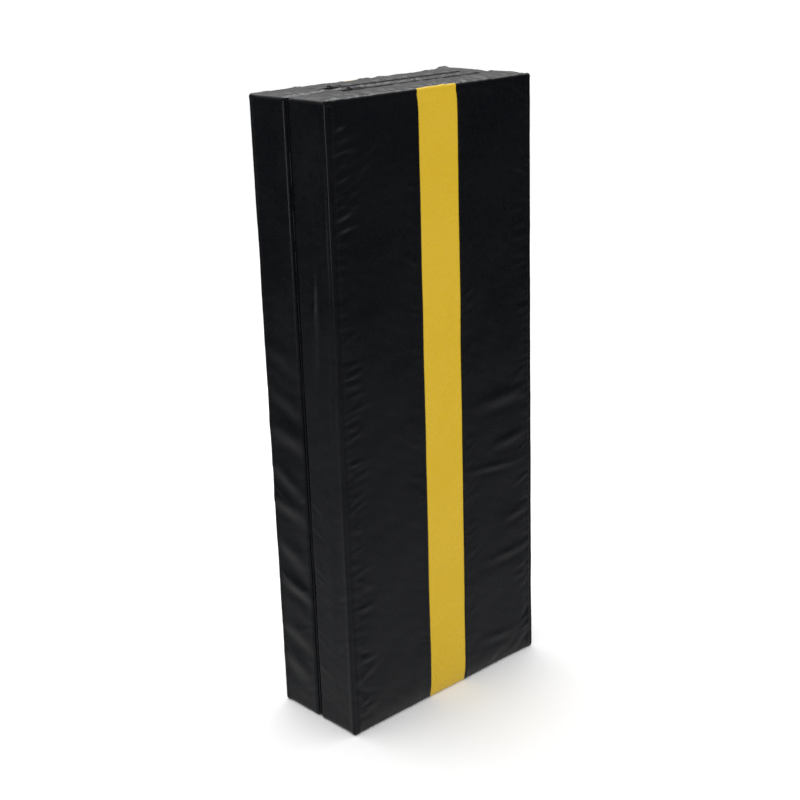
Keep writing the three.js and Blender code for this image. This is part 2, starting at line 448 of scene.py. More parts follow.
@dataclass(frozen=True)
class MetalFinish:
    """Die-cast zinc, blackened and tumbled, and rubbed a little brighter in scattered patches."""

    name: str
    colour: str
    rubbed: str

    def material(self) -> bpy.types.Material:
        """Builds the material.

        Returns:
            The material, with its nodes.
        """
        made = bpy.data.materials.new(self.name)
        made.use_nodes = True
        tree = made.node_tree
        shader = tree.nodes["Principled BSDF"]
        place = add_node(tree, "ShaderNodeTexCoord").outputs["Object"]
        wear = add_node(
            tree,
            "ShaderNodeTexNoise",
            {"Vector": place, "Scale": 1 / (3 * MM), "Detail": 6.0, "Roughness": 0.65},
        )
        tint = add_node(tree, "ShaderNodeMix", {"Factor": wear.outputs["Fac"]}, data_type="RGBA")
        tint.inputs[6].default_value = srgb(self.colour)
        tint.inputs[7].default_value = srgb(self.rubbed)
        gloss = add_node(
            tree,
            "ShaderNodeMapRange",
            {"Value": wear.outputs["Fac"], "To Min": 0.22, "To Max": 0.5},
        )
        bump = add_node(
            tree,
            "ShaderNodeBump",
            {"Height": wear.outputs["Fac"], "Strength": 0.3, "Distance": 0.03 * MM},
        )
        tree.links.new(tint.outputs[2], shader.inputs["Base Color"])
        tree.links.new(gloss.outputs["Result"], shader.inputs["Roughness"])
        tree.links.new(bump.outputs["Normal"], shader.inputs["Normal"])
        shader.inputs["Metallic"].default_value = 1.0
        return made


@dataclass(frozen=True)
class ThreadFinish:
    """Bonded polyester thread, twisted from three plies, with a slight shine."""

    name: str
    colour: str
    ply: str

    def material(self) -> bpy.types.Material:
        """Builds the material.

        Returns:
            The material, with its nodes.
        """
        made = bpy.data.materials.new(self.name)
        made.use_nodes = True
        tree = made.node_tree
        shader = tree.nodes["Principled BSDF"]
        place = add_node(tree, "ShaderNodeTexCoord").outputs["Object"]
        twist = add_node(
            tree,
            "ShaderNodeTexWave",
            {"Vector": place, "Scale": math.pi / (10 * 0.7 * MM), "Distortion": 1.0},
            bands_direction="DIAGONAL",
        )
        tint = add_node(tree, "ShaderNodeMix", {"Factor": twist.outputs["Fac"]}, data_type="RGBA")
        tint.inputs[6].default_value = srgb(self.colour)
        tint.inputs[7].default_value = srgb(self.ply)
        tree.links.new(tint.outputs[2], shader.inputs["Base Color"])
        shader.inputs["Roughness"].default_value = 0.5
        shader.inputs["IOR"].default_value = 1.55
        return made


class Finishes:
    """Every material of the mat, made once."""

    def __init__(self) -> None:
        """Builds the materials."""
        self.black = VinylFinish("black_pvc_vinyl", "#08090c", "#0d0f14").material()
        self.yellow = VinylFinish("yellow_pvc_vinyl", "#c7a318", "#d2af1f").material()
        # the second colour of the webbing and the zip tape is a painted highlight on their raised ribs
        self.webbing = WovenFinish("polypropylene_webbing", "#0c0c0e", "#232326", 2.2, "Z", "Y").material()
        self.tape = WovenFinish("polyester_zip_tape", "#0d0d0f", "#1d1d20", 1.2, "X", "Y", 0.1).material()
        self.soft_foam = FoamFinish("polyurethane_foam", "#ece8dc", "#b9b39f", 1.4).material()
        self.firm_foam = FoamFinish("polyethylene_foam", "#a3a8ad", "#71767b", 2.2).material()
        self.metal = MetalFinish("blackened_zinc", "#3b3b3f", "#77777c").material()
        self.coil = ThreadFinish("nylon_coil", "#0e0e10", "#1f1f22").material()
        self.thread = ThreadFinish("black_polyester_thread", "#161618", "#2c2c30").material()


# ---------- where things are ----------


class Side(Enum):
    """One of the two panels, by the way its outer face looks."""

    FRONT = -1
    BACK = 1

    @property
    def label(self) -> str:
        """The first word of the panel's node names."""
        return self.name.lower()

    @property
    def body(self) -> str:
        """The CAD body that the panel's pieces ride on."""
        return f"{self.label}_panel"


@dataclass(frozen=True)
class Plan:
    """One panel's places, read from its CAD nodes, in x, depth and z."""

    side: Side
    low: Vector
    high: Vector
    inner_y: float
    seam_x: tuple[float, float]
    stripe_x: tuple[float, float]
    seam_z: tuple[float, float]
    edge: float
    zip_x: tuple[float, float]
    zip_depth: tuple[float, float]

    zip_lap: ClassVar[float] = 6.5 * MM  # how far the cover laps over each tape

    @classmethod
    def of(cls, side: Side) -> Plan:
        """Reads a panel's places.

        Args:
            side: the panel.
        Returns:
            Its plan.
        """
        boxes = {
            part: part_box(f"{side.label}_{part}")
            for part in (
                "hinge_gusset",
                "open_gusset",
                "top_gusset",
                "bottom_gusset",
                "face_hinge_side",
                "stripe",
                "face_open_side",
                "inner_sheet",
                "zip_tape_inner",
                "zip_tape_outer",
            )
        }

        def near_far(part: str) -> tuple[float, float]:
            """A node's nearest and furthest distance from the middle plane."""
            ends = sorted(side.value * corner.y for corner in boxes[part])
            return ends[0], ends[1]

        inner_y = near_far("inner_sheet")[0]
        outer_y = near_far("stripe")[1]
        return cls(
            side=side,
            low=Vector((boxes["hinge_gusset"][0].x, 0, boxes["bottom_gusset"][0].z)),
            high=Vector((boxes["open_gusset"][1].x, outer_y - inner_y, boxes["top_gusset"][1].z)),
            inner_y=inner_y,
            seam_x=(
                (boxes["hinge_gusset"][1].x + boxes["face_hinge_side"][0].x) / 2,
                (boxes["open_gusset"][0].x + boxes["face_open_side"][1].x) / 2,
            ),
            stripe_x=(
                (boxes["face_hinge_side"][1].x + boxes["stripe"][0].x) / 2,
                (boxes["stripe"][1].x + boxes["face_open_side"][0].x) / 2,
            ),
            seam_z=(
                (boxes["bottom_gusset"][1].z + boxes["hinge_gusset"][0].z) / 2,
                (boxes["hinge_gusset"][1].z + boxes["top_gusset"][0].z) / 2,
            ),
            edge=(boxes["bottom_gusset"][1].z + boxes["hinge_gusset"][0].z) / 2,
            zip_x=(boxes["zip_tape_inner"][0].x, boxes["zip_tape_inner"][1].x),
            zip_depth=(
                near_far("zip_tape_inner")[0] - inner_y + cls.zip_lap,
                near_far("zip_tape_outer")[1] - inner_y - cls.zip_lap,
            ),
        )

    def to_frame(self, points: np.ndarray) -> np.ndarray:
        """Turns rows of x, depth and z into places in the frame."""
        placed = np.array(points, float)
        placed[:, 1] = self.side.value * (self.inner_y + placed[:, 1])
        return placed


# ---------- the cover's shape ----------


@dataclass
class Shell:
    """The sewn cover of a panel as one closed surface, swelled by its foam, before it is cut.

    It is cut a little smaller than the CAD cover, and the foam pushes it out to size.
    """

    plan: Plan
    fine: float = 5 * MM
    coarse: float = 10 * MM
    row: float = 7 * MM
    crown: float = 4.2 * MM
    frames: int = 20
    pressure: float = 4.0

    def blank(self) -> bpy.types.Object:
        """Models the unswelled cover: a rounded slab, cut into a grid that follows the seams.

        Returns:
            The object, in x, depth and z.
        """
        plan, inset = self.plan, Vector((SLACK,) * 3)
        obj = new_block("cover_blank", plan.low + inset, plan.high - inset)
        across = graded([plan.seam_x[0], *plan.stripe_x, plan.seam_x[1]], self.fine, self.coarse, 50 * MM)
        through = graded([plan.edge, plan.high.y - plan.edge], self.fine, 6 * MM, 20 * MM)
        rows = int((plan.seam_z[1] - plan.seam_z[0]) / self.row)
        upright = list(np.linspace(*plan.seam_z, rows + 1))
        keep = 2.2 * MM
        across = [x for x in across if min(abs(x - z) for z in plan.zip_x) > keep]
        through = [y for y in through if min(abs(y - z) for z in plan.zip_depth) > keep]
        cuts = [
            (Vector((1, 0, 0)), [*across, *plan.zip_x]),
            (Vector((0, 1, 0)), [*through, *plan.zip_depth]),
            (Vector((0, 0, 1)), upright),
        ]
        with editing(obj, "EDGE"):
            bpy.ops.mesh.bevel(offset=plan.edge - SLACK, segments=3, affect="EDGES")
            for axis, places in cuts:
                for place in places:
                    bpy.ops.mesh.select_all(action="SELECT")
                    bpy.ops.mesh.bisect(plane_co=axis * place, plane_no=axis)
        return obj

    def swell(self, obj: bpy.types.Object) -> None:
        """Inflates the cover with a cloth simulation, its rounded edges held by their seams.

        Args:
            obj: the blank, which takes on the swelled shape.
        """
        rest = points_of(obj)
        plan = self.plan
        inside = np.minimum(rest - np.array(plan.low), np.array(plan.high) - rest)
        near_edges = np.sort(inside, axis=1)[:, 1]
        held = obj.vertex_groups.new(name="held")
        for index in np.flatnonzero(near_edges < plan.edge + 0.1 * MM):
            held.add([int(index)], 1.0, "REPLACE")
        cloth = obj.modifiers.new("Cloth", "CLOTH")
        settings = cloth.settings
        settings.quality = 4
        settings.use_pressure = True
        settings.uniform_pressure_force = self.pressure
        settings.tension_stiffness = 40
        settings.compression_stiffness = 20
        settings.shear_stiffness = 10
        settings.bending_stiffness = 0.4
        settings.vertex_group_mass = "held"
        settings.shrink_min = -0.006
        settings.effector_weights.gravity = 0
        cloth.collision_settings.use_collision = False
        for number in range(1, self.frames + 1):
            bpy.context.scene.frame_set(number)
        make_active(obj)
        bpy.ops.object.modifier_apply(modifier=cloth.name)
        bpy.context.scene.frame_set(1)

    def build(self) -> tuple[np.ndarray, np.ndarray, np.ndarray, bpy.types.Object]:
        """Makes the shell.

        Returns:
            For each vertex its place on the flat-sided blank, the blank's normal there and its
            swelled place, and the object itself.
        """
        obj = self.blank()
        coarse_rest = points_of(obj)
        self.swell(obj)
        swelled = points_of(obj)
        push = swelled - coarse_rest
        length = np.linalg.norm(push, axis=1, keepdims=True)
        push *= self.crown * np.tanh(length / self.crown) / np.maximum(length, 1e-9)
        LOG.info("cover swells by up to %.1f mm", 1000 * length.max())
        set_points(obj, coarse_rest)
        flat = obj.copy()
        flat.data = obj.data.copy()
        bpy.context.scene.collection.objects.link(flat)
        set_points(obj, coarse_rest + push)
        for each in (flat, obj):
            apply_modifier(each, "SUBSURF", levels=1, render_levels=1)
        rest, normals = points_of(flat), points_of(flat, "normal")
        bpy.data.objects.remove(flat)
        return rest, normals, points_of(obj), obj


class Face(Enum):
    """A side of a panel: the axis of its normal, its sign, and the axes that run along it."""

    OUTER = (1, 1, 0, 2)
    INNER = (1, -1, 0, 2)
    HINGE = (0, -1, 1, 2)
    OPEN = (0, 1, 1, 2)
    TOP = (2, 1, 0, 1)
    BOTTOM = (2, -1, 0, 1)


@dataclass(frozen=True)
class Fold:
    """One soft fold in the cover: a ridge with a valley beside it.

    The middle is in the face's own two axes, the angle is from the first towards the second,
    and the height is of the ridge.
    """

    face: Face
    middle: tuple[float, float]
    angle: float
    length: float
    width: float
    height: float


class Relief:
    """Height that is added along the cover's normals: seams, puckers, folds and swells."""

    def __init__(self, plan: Plan, rest: np.ndarray, normals: np.ndarray, seed: int) -> None:
        """Starts a flat relief over the blank's vertices.

        Args:
            plan: the panel's plan.
            rest: each vertex's place on the flat-sided blank.
            normals: the blank's normals.
            seed: of the puckers' random sizes.
        """
        self.plan = plan
        self.rest = rest
        self.height = np.zeros(len(rest))
        self.random = np.random.default_rng(seed)
        self.weight = {
            face: smooth_step(0.55, 0.95, face.value[1] * normals[:, face.value[0]]) for face in Face
        }

    def fold(self, fold: Fold) -> None:
        """Adds one fold.

        Args:
            fold: its place and size.
        """
        u = self.rest[:, fold.face.value[2]] - fold.middle[0]
        v = self.rest[:, fold.face.value[3]] - fold.middle[1]
        reach = 2.2 * fold.length + 4 * fold.width
        near = np.flatnonzero((np.abs(u) < reach) & (np.abs(v) < reach) & (self.weight[fold.face] > 0))
        u, v = u[near], v[near]
        c, s = math.cos(fold.angle), math.sin(fold.angle)
        along, beside = (u * c + v * s) / fold.length, (v * c - u * s) / fold.width
        ridge = np.exp(-(beside**2)) - 0.6 * np.exp(-((beside + 1.7) ** 2))
        self.height[near] += self.weight[fold.face][near] * fold.height * np.exp(-(along**2)) * ridge

    def seam(self, start: tuple, end: tuple, depth: float = 1.3 * MM, width: float = 2.2 * MM) -> None:
        """Sinks the cover along a straight seam, and lifts the turned edges beside it.

        Args:
            start: one end, in x, depth and z.
            end: the other end.
            depth: how deep the stitching pulls.
            width: half the width of the groove.
        """
        a, b = np.array(start, float), np.array(end, float)
        run = b - a
        share = np.clip((self.rest - a) @ run / (run @ run), 0, 1)
        away = np.linalg.norm(self.rest - (a + share[:, None] * run), axis=1)
        self.height -= depth * np.exp(-((away / width) ** 2))
        self.height += 0.35 * depth * np.exp(-(((away - 3.2 * width) / (1.6 * width)) ** 2))

    def ridge(self, start: tuple, end: tuple, height: float, width: float) -> None:
        """Raises a soft ridge along an edge, where the seam's turned edges fill it out.

        Args:
            start: one end, in x, depth and z.
            end: the other end.
            height: how far it stands out.
            width: half its width.
        """
        a, b = np.array(start, float), np.array(end, float)
        run = b - a
        share = np.clip((self.rest - a) @ run / (run @ run), 0, 1)
        away = np.linalg.norm(self.rest - (a + share[:, None] * run), axis=1)
        self.height += height * np.exp(-((away / width) ** 2))

    def welt(self, face: Face, axis: int, at: float, towards: int, width: float, height: float) -> None:
        """Raises a flat band beside a seam, where its allowance is turned under.

        Args:
            face: the side that it lies on.
            axis: 0 for a seam at one x, 1 for one depth, 2 for one z.
            at: the seam's place on that axis.
            towards: 1 or -1, the way that the band lies from the seam.
            width: the band's width.
            height: how far it stands up.
        """
        away = towards * (self.rest[:, axis] - at)
        band = smooth_step(0, 2 * MM, away) * (1 - smooth_step(width - 2 * MM, width + 2 * MM, away))
        self.height += self.weight[face] * band * height

    def puckers(
        self,
        face: Face,
        fixed: float,
        towards: int,
        span: tuple[float, float],
        count: int,
        size: tuple[float, float] = (22 * MM, 0.8 * MM),
        tilt: float = 0.45,
        across: bool = False,
    ) -> None:
        """Adds short puckers that leave a seam at a slant, as stitching draws the cover in.

        Args:
            face: the side that they lie on.
            fixed: the seam's place on the face's first axis, or on its second if across is set.
            towards: 1 or -1, the way that they leave the seam.
            span: where along the seam they start and stop.
            count: how many there are.
            size: their length and height.
            tilt: their slope, in radians.
            across: whether the seam runs along the face's first axis.
        """
        for _ in range(count):
            place = self.random.uniform(*span)
            length = size[0] * self.random.uniform(0.5, 1.4)
            slope = tilt + self.random.normal(0, 0.2)
            middle = fixed + towards * (3 * MM + 0.7 * length)
            angle = towards * slope if not across else math.pi / 2 + slope
            self.fold(
                Fold(
                    face,
                    (place, middle) if across else (middle, place + 0.7 * length * math.sin(slope)),
                    angle,
                    length,
                    self.random.uniform(3.2, 6.5) * MM,
                    size[1] * self.random.uniform(0.35, 1.0),
                )
            )

    def swells(self, height: float, lengths: tuple[float, float], count: int = 14) -> None:
        """Adds broad unevenness of the foam and cover all over.

        Args:
            height: the size of each wave.
            lengths: the shortest and longest wave.
            count: how many waves are summed.
        """
        total = np.zeros(len(self.rest))
        for _ in range(count):
            direction = self.random.normal(size=3)
            direction /= np.linalg.norm(direction)
            wave = 2 * math.pi / self.random.uniform(*lengths)
            total += np.sin(self.rest @ direction * wave + self.random.uniform(0, 2 * math.pi))
        self.height += height * total / math.sqrt(count)


# ---------- sewing thread ----------


@dataclass
class Thread:
    """Rows of stitches laid on a surface, all in one piece."""

    name: str
    surface: BVHTree
    pitch: float = 4.2 * MM
    stitch: float = 3.1 * MM
    thickness: float = 0.75 * MM
    corners: list[np.ndarray] = field(default_factory=list)

    def __post_init__(self) -> None:
        """Models one stitch, as a slim rounded bead along X."""
        bpy.ops.object.select_all(action="DESELECT")
        bpy.ops.mesh.primitive_uv_sphere_add(segments=6, ring_count=4, radius=0.5)
        bead = bpy.context.active_object
        with editing(bead):
            bpy.ops.transform.resize(value=(self.stitch, self.thickness, self.thickness))
        self.bead = points_of(bead)
        self.bead_faces = [tuple(p.vertices) for p in bead.data.polygons]
        bpy.data.objects.remove(bead)

    def row(self, start: Vector, end: Vector, inward: Vector) -> None:
        """Lays a straight row of stitches.

        Args:
            start: where the row starts, on or above the surface.
            end: where it ends.
            inward: the direction that meets the surface.
        """
        run = end - start
        count = int(run.length / self.pitch)
        for index in range(count):
            near = start + run * ((index + 0.5) / count)
            hit = self.surface.ray_cast(near - inward * 20 * MM, inward, 40 * MM)
            if hit[0] is None:
                continue
            normal = hit[1] if hit[1].dot(inward) < 0 else -hit[1]
            along = (run - normal * run.dot(normal)).normalized()
            turn = np.array((along, normal.cross(along), normal)).T
            middle = np.array(hit[0] + normal * 0.12 * MM)
            self.corners.append(self.bead @ turn.T + middle)

    def build(self, material: bpy.types.Material, body: str) -> bpy.types.Object:
        """Makes the piece.

        Args:
            material: the thread's finish.
            body: the CAD body that it rides on.
        Returns:
            The piece.
        """
        mesh = bpy.data.meshes.new(self.name)
        size = len(self.bead)
        faces = [tuple(v + k * size for v in f) for k in range(len(self.corners)) for f in self.bead_faces]
        mesh.from_pydata(np.concatenate(self.corners), [], faces)
        mesh.polygons.foreach_set("use_smooth", [True] * len(mesh.polygons))
        obj = bpy.data.objects.new(self.name, mesh)
        bpy.context.scene.collection.objects.link(obj)
        dress(obj, material)
        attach(obj, body)
        LOG.info("%s: %d stitches", self.name, len(self.corners))
        return obj


# ---------- one panel ----------


PARTS = (
    "face_hinge_side",
    "stripe",
    "face_open_side",
    "inner_sheet",
    "hinge_gusset",
    "open_gusset",
    "top_gusset",
    "bottom_gusset",
)
WINDOW = len(PARTS)


@dataclass
class Cover:
    """The vinyl cover of one panel: eight pieces cut from one swelled shell, and their stitching."""

    plan: Plan
    finishes: Finishes
    shell: tuple[np.ndarray, np.ndarray, np.ndarray, bpy.types.Object]
    thickness: float = 1.0 * MM
    lean: tuple[float, float] = (-1.5 * MM, 5.5 * MM)  # of the stripe, at its bottom and top
    seam_welt: float = 11 * MM
    pull_reach: float = 20 * MM  # how far the pull tab swings past the ends of the zip

    def folds(self) -> list[Fold]:
        """Lists the larger folds: creases where the cover is slack over the foam.

        Returns:
            The folds of this panel.
        """
        p = self.plan
        slant = math.radians(19)
        up = math.radians(8)
        if p.side is Side.BACK:
            heights = (0.745, 0.655, 0.59, 0.50, 0.44, 0.345, 0.27, 0.17, 0.10)
            sizes = (0.5, 0.6, 1.0, 0.8, 1.0, 1.1, 1.3, 0.9, 0.8)
            return [
                Fold(
                    face=Face.HINGE,
                    middle=(0.052 + 0.010 * math.sin(5 * i), z),
                    angle=slant + 0.16 * math.sin(9 * i),
                    length=0.050 + 0.010 * math.sin(7 * i),
                    width=0.016 + 0.003 * math.sin(4 * i),
                    height=1.8 * MM * size,
                )
                for i, (z, size) in enumerate(zip(heights, sizes))
            ] + [
                Fold(Face.OUTER, (0.16, 0.50), up, 0.07, 0.014, 1.0 * MM),
                Fold(Face.OUTER, (-0.17, 0.31), up, 0.06, 0.013, 0.9 * MM),
            ]
        beside_stripe = (
            # from the stripe, height, angle, length, width and depth
            (0.092, 0.452, -5.7, 0.060, 0.0065, 1.0),
            (0.138, 0.500, 4.0, 0.045, 0.010, 1.2),
            (0.113, 0.594, 1.5, 0.060, 0.013, 1.5),
            (0.165, 0.626, 4.0, 0.022, 0.008, 0.7),
            (0.158, 0.332, 6.0, 0.030, 0.008, 0.9),
            (0.129, 0.250, 0.0, 0.050, 0.009, 1.0),
            (0.100, 0.070, -5.0, 0.045, 0.009, 1.0),
            (0.186, 0.061, 25.0, 0.014, 0.005, 0.9),
        )
        return [
            Fold(Face.OUTER, (p.stripe_x[1] + away, z), math.radians(turn), length, width, deep * MM)
            for away, z, turn, length, width, deep in beside_stripe
        ] + [
            Fold(Face.OUTER, (-0.195, 1.10), up + 0.6, 0.024, 0.007, 0.7 * MM),
            Fold(Face.OUTER, (-0.180, 1.13), up + 0.6, 0.022, 0.007, 0.7 * MM),
            Fold(Face.HINGE, (0.045, 0.82), math.radians(88), 0.100, 0.006, 1.9 * MM),
            Fold(Face.HINGE, (0.089, 0.95), math.radians(90), 0.200, 0.004, 1.2 * MM),
            Fold(Face.HINGE, (0.080, 0.72), math.radians(91), 0.120, 0.004, 1.0 * MM),
            Fold(Face.HINGE, (0.055, 0.30), math.radians(86), 0.110, 0.012, 0.7 * MM),
        ]

    def relief(self, rest: np.ndarray, normals: np.ndarray) -> np.ndarray:
        """Works out how far the cover stands out or sinks at each vertex.

        Args:
            rest: each vertex's place on the flat-sided blank.
            normals: the blank's normals.
        Returns:
            The height to add along the cover's normals.
        """
        p = self.plan
        front = p.side is Side.FRONT
        r = Relief(p, rest, normals, seed=11 if front else 23)
        deep = p.high.y
        z0, z1 = p.seam_z
        for x in p.seam_x:
            for depth in (SLACK, deep - SLACK):
                r.seam((x, depth, z0), (x, depth, z1))
        for x in p.stripe_x:
            r.seam((x, deep - SLACK, z0), (x, deep - SLACK, z1), 0.7 * MM, 1.8 * MM)
        for z in (p.low.z + SLACK, p.high.z - SLACK):
            for depth in (p.edge, deep - p.edge):
                r.seam((p.seam_x[0], depth, z), (p.seam_x[1], depth, z), 1.1 * MM)
        for x, towards in zip(p.seam_x, (1, -1)):
            for face in (Face.OUTER, Face.INNER):
                r.welt(face, 0, x, towards, self.seam_welt, 0.45 * MM)
        for x, towards in zip(p.stripe_x, (-1, 1)):
            r.welt(Face.OUTER, 0, x, towards, 9 * MM, 0.35 * MM)
        inset = SLACK + 0.3 * p.edge
        for x in (p.low.x + inset, p.high.x - inset):
            r.ridge((x, deep - inset, z0), (x, deep - inset, z1), 1.9 * MM, 6 * MM)
        z = p.high.z - inset
        r.ridge((p.seam_x[0], deep - inset, z), (p.seam_x[1], deep - inset, z), 1.9 * MM, 6 * MM)
        left, right = p.seam_x[0] + self.seam_welt, p.seam_x[1] - self.seam_welt
        r.puckers(Face.OUTER, left, 1, (0.99, 1.19), 30, (20 * MM, 0.75 * MM), 0.26)
        r.puckers(Face.OUTER, left, 1, (0.42, 0.80), 26, (18 * MM, 0.6 * MM), 0.12)
        r.puckers(Face.OUTER, left, 1, (0.04, 0.42), 20, (20 * MM, 0.7 * MM), 0.06)
        r.puckers(Face.OUTER, right, -1, (0.03, 1.19), 28, (18 * MM, 0.45 * MM), -0.05)
        for x, towards in zip(p.stripe_x, (-1, 1)):
            r.puckers(Face.OUTER, x + towards * 9 * MM, towards, (0.03, 1.19), 44, (15 * MM, 0.3 * MM))
        for x, towards in zip((left, right), (1, -1)):
            r.puckers(Face.INNER, x, towards, (0.03, 1.19), 60, (20 * MM, 0.5 * MM))
        for face, span, count in ((Face.HINGE, (0.03, 0.5), 8), (Face.OPEN, (0.03, 1.19), 26)):
            for depth, towards in ((p.edge, 1), (deep - p.edge, -1)):
                r.puckers(face, depth, towards, span, count, (16 * MM, 0.4 * MM), -0.5)
        for depth, towards in ((p.edge, 1), (deep - p.edge, -1)):
            r.puckers(Face.TOP, depth, towards, (-0.26, 0.23), 44, (22 * MM, 2.0 * MM), 0.2, across=True)
            r.puckers(Face.BOTTOM, depth, towards, (-0.24, 0.22), 20, (12 * MM, 0.3 * MM), 0.2, across=True)
        for fold in self.folds():
            r.fold(fold)
        r.swells(0.35 * MM, (0.07, 0.26))
        r.swells(0.10 * MM, (0.02, 0.06))
        return r.height

    def limits(self, rest: np.ndarray, moved: np.ndarray) -> np.ndarray:
        """Keeps the cover clear of the zip, the hinge, the floor and the other panel.

        Args:
            rest: each vertex's place on the blank.
            moved: each vertex's wrinkled place.
        Returns:
            The places, where they may be.
        """
        p = self.plan
        placed = moved.copy()
        over = np.maximum(
            np.maximum(p.zip_x[0] - rest[:, 0], rest[:, 0] - p.zip_x[1]) - self.pull_reach,
            np.maximum(p.zip_depth[0] - rest[:, 1], rest[:, 1] - p.zip_depth[1]),
        )
        top = smooth_step(p.seam_z[1], p.high.z - 2 * MM, rest[:, 2])
        flat = top * (1 - smooth_step(0, 9 * MM, over))
        placed[:, 2] += flat * (p.high.z + 0.4 * MM - placed[:, 2]) * 0.9
        if p.side is Side.FRONT:
            run = smooth_step(-0.245, -0.215, rest[:, 0]) * (1 - smooth_step(-0.13, -0.04, rest[:, 0]))
            rim = np.exp(-(((rest[:, 1] - 7 * MM) / (5 * MM)) ** 2))
            placed[:, 2] += top * run * rim * 3.0 * MM
        placed[:, 0] = np.maximum(placed[:, 0], p.low.x - 0.85 * MM)
        placed[:, 0] = np.minimum(placed[:, 0], p.high.x + 0.1 * MM)
        strip = 1 - smooth_step(p.seam_x[0] + 38 * MM, p.seam_x[0] + 60 * MM, rest[:, 0])
        placed[:, 1] = np.maximum(placed[:, 1], -1.3 * MM * (1 - strip) + 0.1 * MM)
        sunk = SLACK * (1 - rest[:, 2] / p.high.z)
        placed[:, 2] = np.maximum(placed[:, 2] - sunk, p.low.z)
        return placed

    def leaned(self, rest: np.ndarray, moved: np.ndarray) -> np.ndarray:
        """Slants the stripe a little, as it was sewn.

        Args:
            rest: each vertex's place on the flat-sided blank.
            moved: each vertex's place on the finished cover.
        Returns:
            The cover's vertices, shifted sideways near the stripe.
        """
        p = self.plan
        middle = sum(p.stripe_x) / 2
        half = (p.stripe_x[1] - p.stripe_x[0]) / 2
        away = np.abs(rest[:, 0] - middle)
        share = 1 - smooth_step(half, half + 0.15, away)
        share *= smooth_step(p.high.y - 2 * p.edge, p.high.y - p.edge, rest[:, 1])
        slant = self.lean[0] + (self.lean[1] - self.lean[0]) * rest[:, 2] / p.high.z
        moved = moved.copy()
        moved[:, 0] += slant * share
        return moved

    def regions(self, middles: np.ndarray) -> np.ndarray:
        """Says which piece each face belongs to, by its middle on the blank.

        Args:
            middles: the faces' middles.
        Returns:
            An index into PARTS for each, or WINDOW for the zip's opening.
        """
        p = self.plan
        x, depth, z = middles.T
        between = (x > p.seam_x[0]) & (x < p.seam_x[1])
        found = np.where(x < (p.low.x + p.high.x) / 2, 4, 5)
        found[z > p.seam_z[1]] = 6
        found[z < p.seam_z[0]] = 7
        outer = between & (depth > p.high.y - p.edge)
        found[outer & (x < p.stripe_x[0])] = 0
        found[outer & (x > p.stripe_x[0]) & (x < p.stripe_x[1])] = 1
        found[outer & (x > p.stripe_x[1])] = 2
        found[between & (depth < p.edge)] = 3
        window = (x > p.zip_x[0]) & (x < p.zip_x[1]) & (depth > p.zip_depth[0]) & (depth < p.zip_depth[1])
        found[window & (z > p.high.z - 2 * MM)] = WINDOW
        return found

    def surface(self) -> tuple[bpy.types.Object, np.ndarray]:
        """Makes the whole wrinkled cover of this panel in the frame.

        Returns:
            The object, and the region of each face.
        """
        rest, normals, swelled, master = self.shell
        obj = master.copy()
        obj.data = master.data.copy()
        obj.name = obj.data.name = f"{self.plan.side.label}_cover"
        bpy.context.scene.collection.objects.link(obj)
        set_points(obj, swelled)
        tight = smooth_step(0.3, 0.9, -normals[:, 0])  # the hinge side is drawn flat
        full = swelled.copy()
        full[:, 0] += tight * (rest[:, 0] + 0.5 * MM - full[:, 0])
        lifted = full + points_of(obj, "normal") * self.relief(rest, normals)[:, None]
        placed = self.leaned(rest, self.limits(rest, lifted))
        loops = np.zeros(len(obj.data.loops), np.int32)
        obj.data.loops.foreach_get("vertex_index", loops)
        middles = rest[loops.reshape(-1, 4)].mean(1)
        set_points(obj, self.plan.to_frame(placed))
        if self.plan.side is Side.FRONT:
            with editing(obj):
                bpy.ops.mesh.flip_normals()
        return obj, self.regions(middles)

    def cut(self, obj: bpy.types.Object, regions: np.ndarray) -> dict[str, bpy.types.Object]:
        """Cuts the cover into its pieces along the seams.

        Args:
            obj: the whole cover, which becomes the last piece.
            regions: the region of each face.
        Returns:
            The pieces by name.
        """
        mark = obj.data.attributes.new("region", "INT", "FACE")
        mark.data.foreach_set("value", regions.astype(np.int32))
        pieces = {}
        for index, part in [*enumerate(PARTS[1:], 1), (WINDOW, "window")]:
            values = np.zeros(len(obj.data.polygons), np.int32)
            obj.data.attributes["region"].data.foreach_get("value", values)
            obj.data.vertices.foreach_set("select", [False] * len(obj.data.vertices))
            obj.data.edges.foreach_set("select", [False] * len(obj.data.edges))
            obj.data.polygons.foreach_set("select", values == index)
            make_active(obj)
            before = set(bpy.data.objects)
            bpy.ops.object.mode_set(mode="EDIT")
            bpy.ops.mesh.select_mode(type="FACE")
            bpy.ops.mesh.separate(type="SELECTED")
            bpy.ops.object.mode_set(mode="OBJECT")
            pieces[part] = next(o for o in bpy.data.objects if o not in before)
        bpy.data.objects.remove(pieces.pop("window"))
        pieces[PARTS[0]] = obj
        return pieces

    def build(self) -> BVHTree:
        """Makes the cover's pieces.

        Returns:
            The whole surface, for what is sewn onto it.
        """
        side = self.plan.side
        whole, regions = self.surface()
        tree = BVHTree.FromObject(whole, bpy.context.evaluated_depsgraph_get())
        for part, obj in self.cut(whole, regions).items():
            obj.name = obj.data.name = f"{side.label}_{part}_vinyl"
            apply_modifier(obj, "SOLIDIFY", thickness=self.thickness, offset=-1)
            smooth(obj, 60)
            yellow = part == "stripe"
            dress(obj, self.finishes.yellow if yellow else self.finishes.black)
            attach(obj, side.body)
            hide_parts(f"{side.label}_{part}")
            LOG.info("%s: %d faces", obj.name, len(obj.data.polygons))
        return tree

    def stitch(self, surface: BVHTree) -> None:
        """Topstitches the seams.

        Args:
            surface: the whole cover, which the thread follows.
        """
        p, side = self.plan, self.plan.side
        thread = Thread(f"{side.label}_seam_thread", surface)
        z0, z1 = p.seam_z

